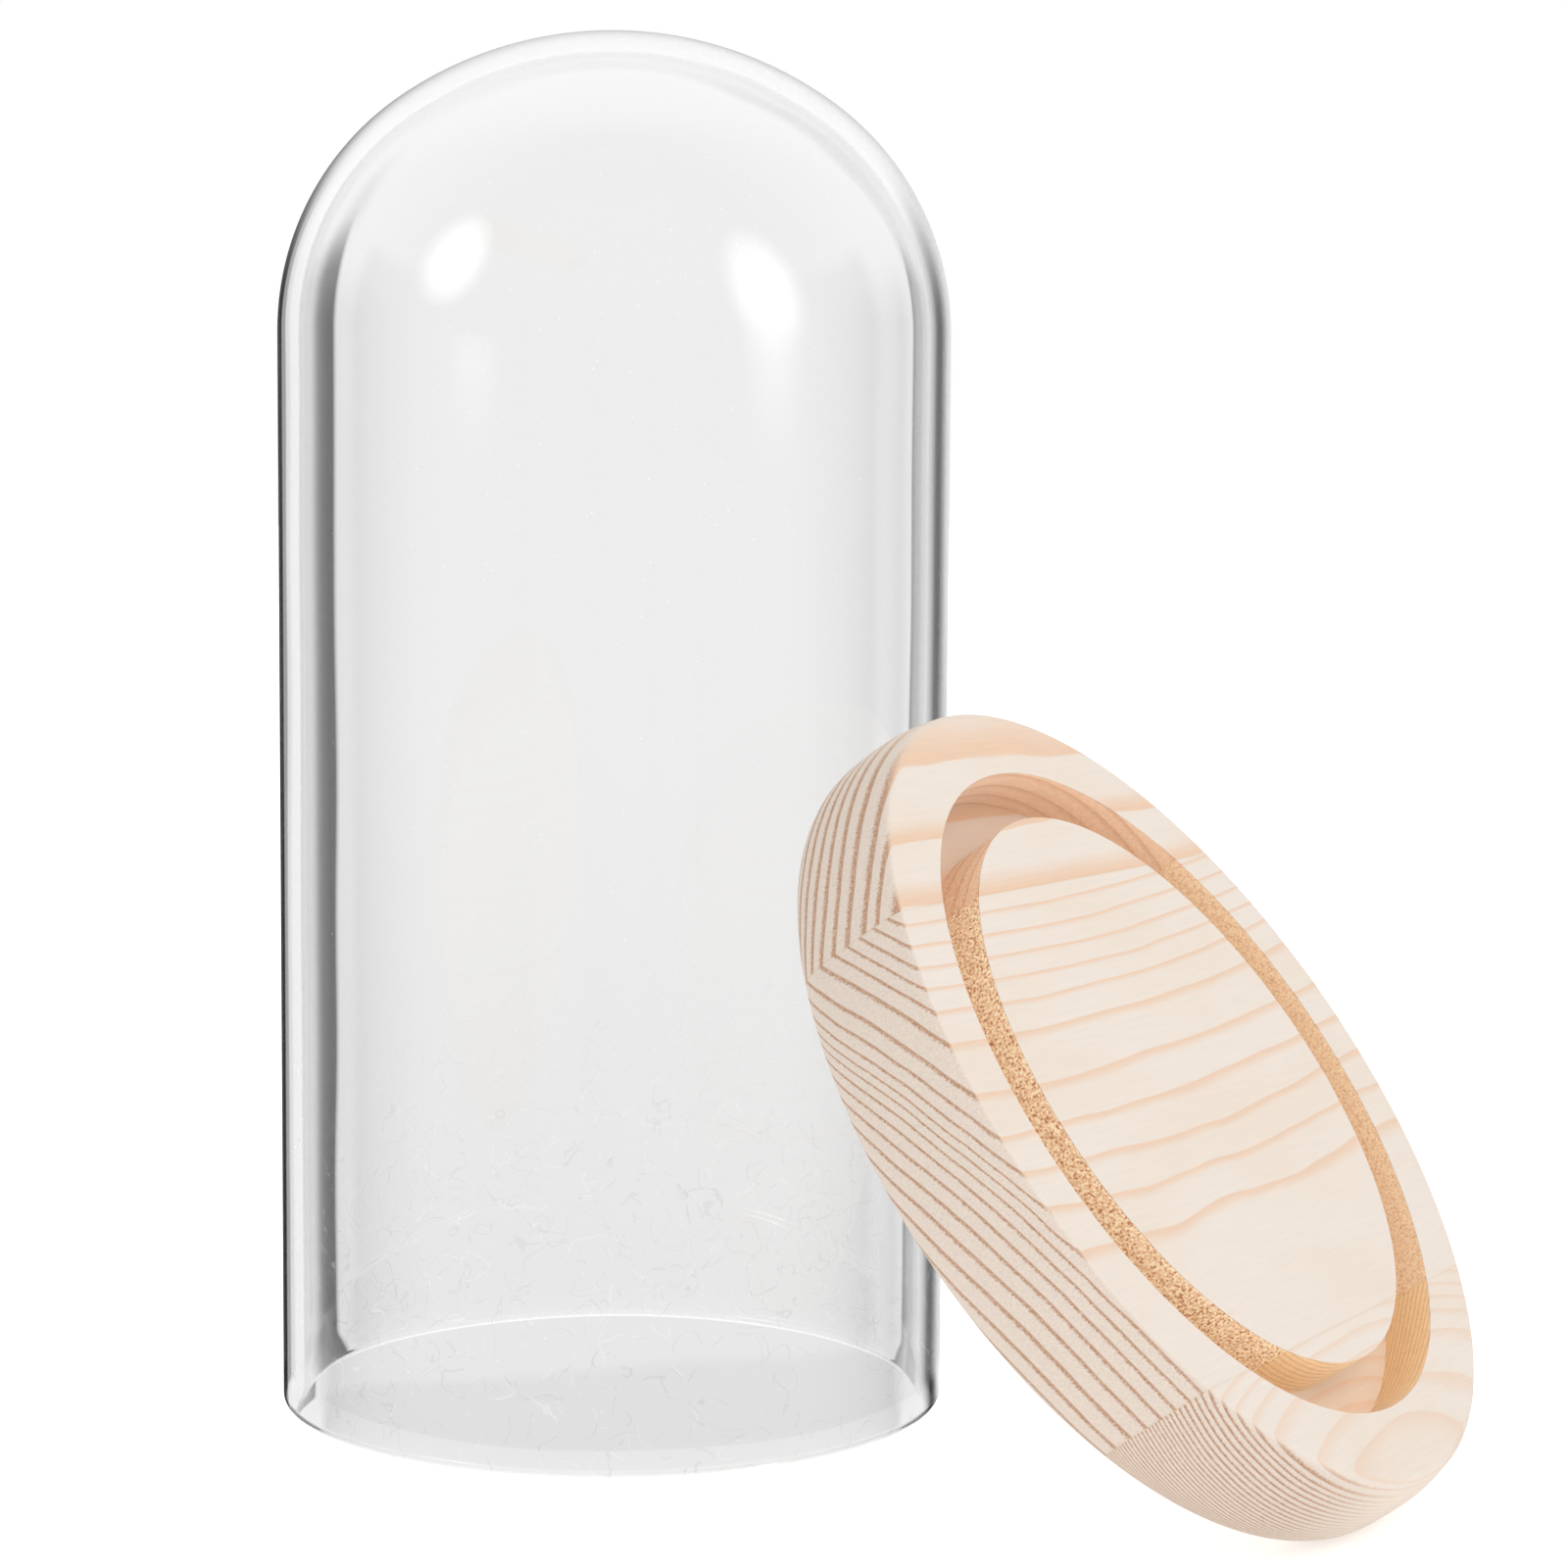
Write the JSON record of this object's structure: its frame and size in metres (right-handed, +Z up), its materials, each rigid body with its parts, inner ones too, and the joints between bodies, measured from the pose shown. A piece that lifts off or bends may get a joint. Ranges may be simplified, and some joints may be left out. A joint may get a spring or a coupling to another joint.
{
  "type": "bell jar dome",
  "caption": "Clear glass bell jar dome standing beside its round glued pine base, which leans on it and has a ring groove for the rim.",
  "frame": {"origin": "centre of the dome's rim circle, on the table that the dome stands on", "axes": "+Z up along the dome's axis; -Y towards the viewer; the base leans on the dome's +X, -Y side"},
  "size_m": [0.1727, 0.1673, 0.205],
  "materials": {
    "clear_glass": "clear, polished",
    "pine": "raw, turned and sanded"
  },
  "bodies": {
    "base": {"base_stave_upper": "pine", "base_stave_middle": "pine", "base_stave_lower": "pine"},
    "dome": {"glass_dome": "clear_glass"}
  },
  "joints": [
    {"name": "dome_lift", "type": "slide", "parent": "base", "child": "dome", "axis": [0, 0, 1], "range_m": [0, 0.21]}
  ]
}
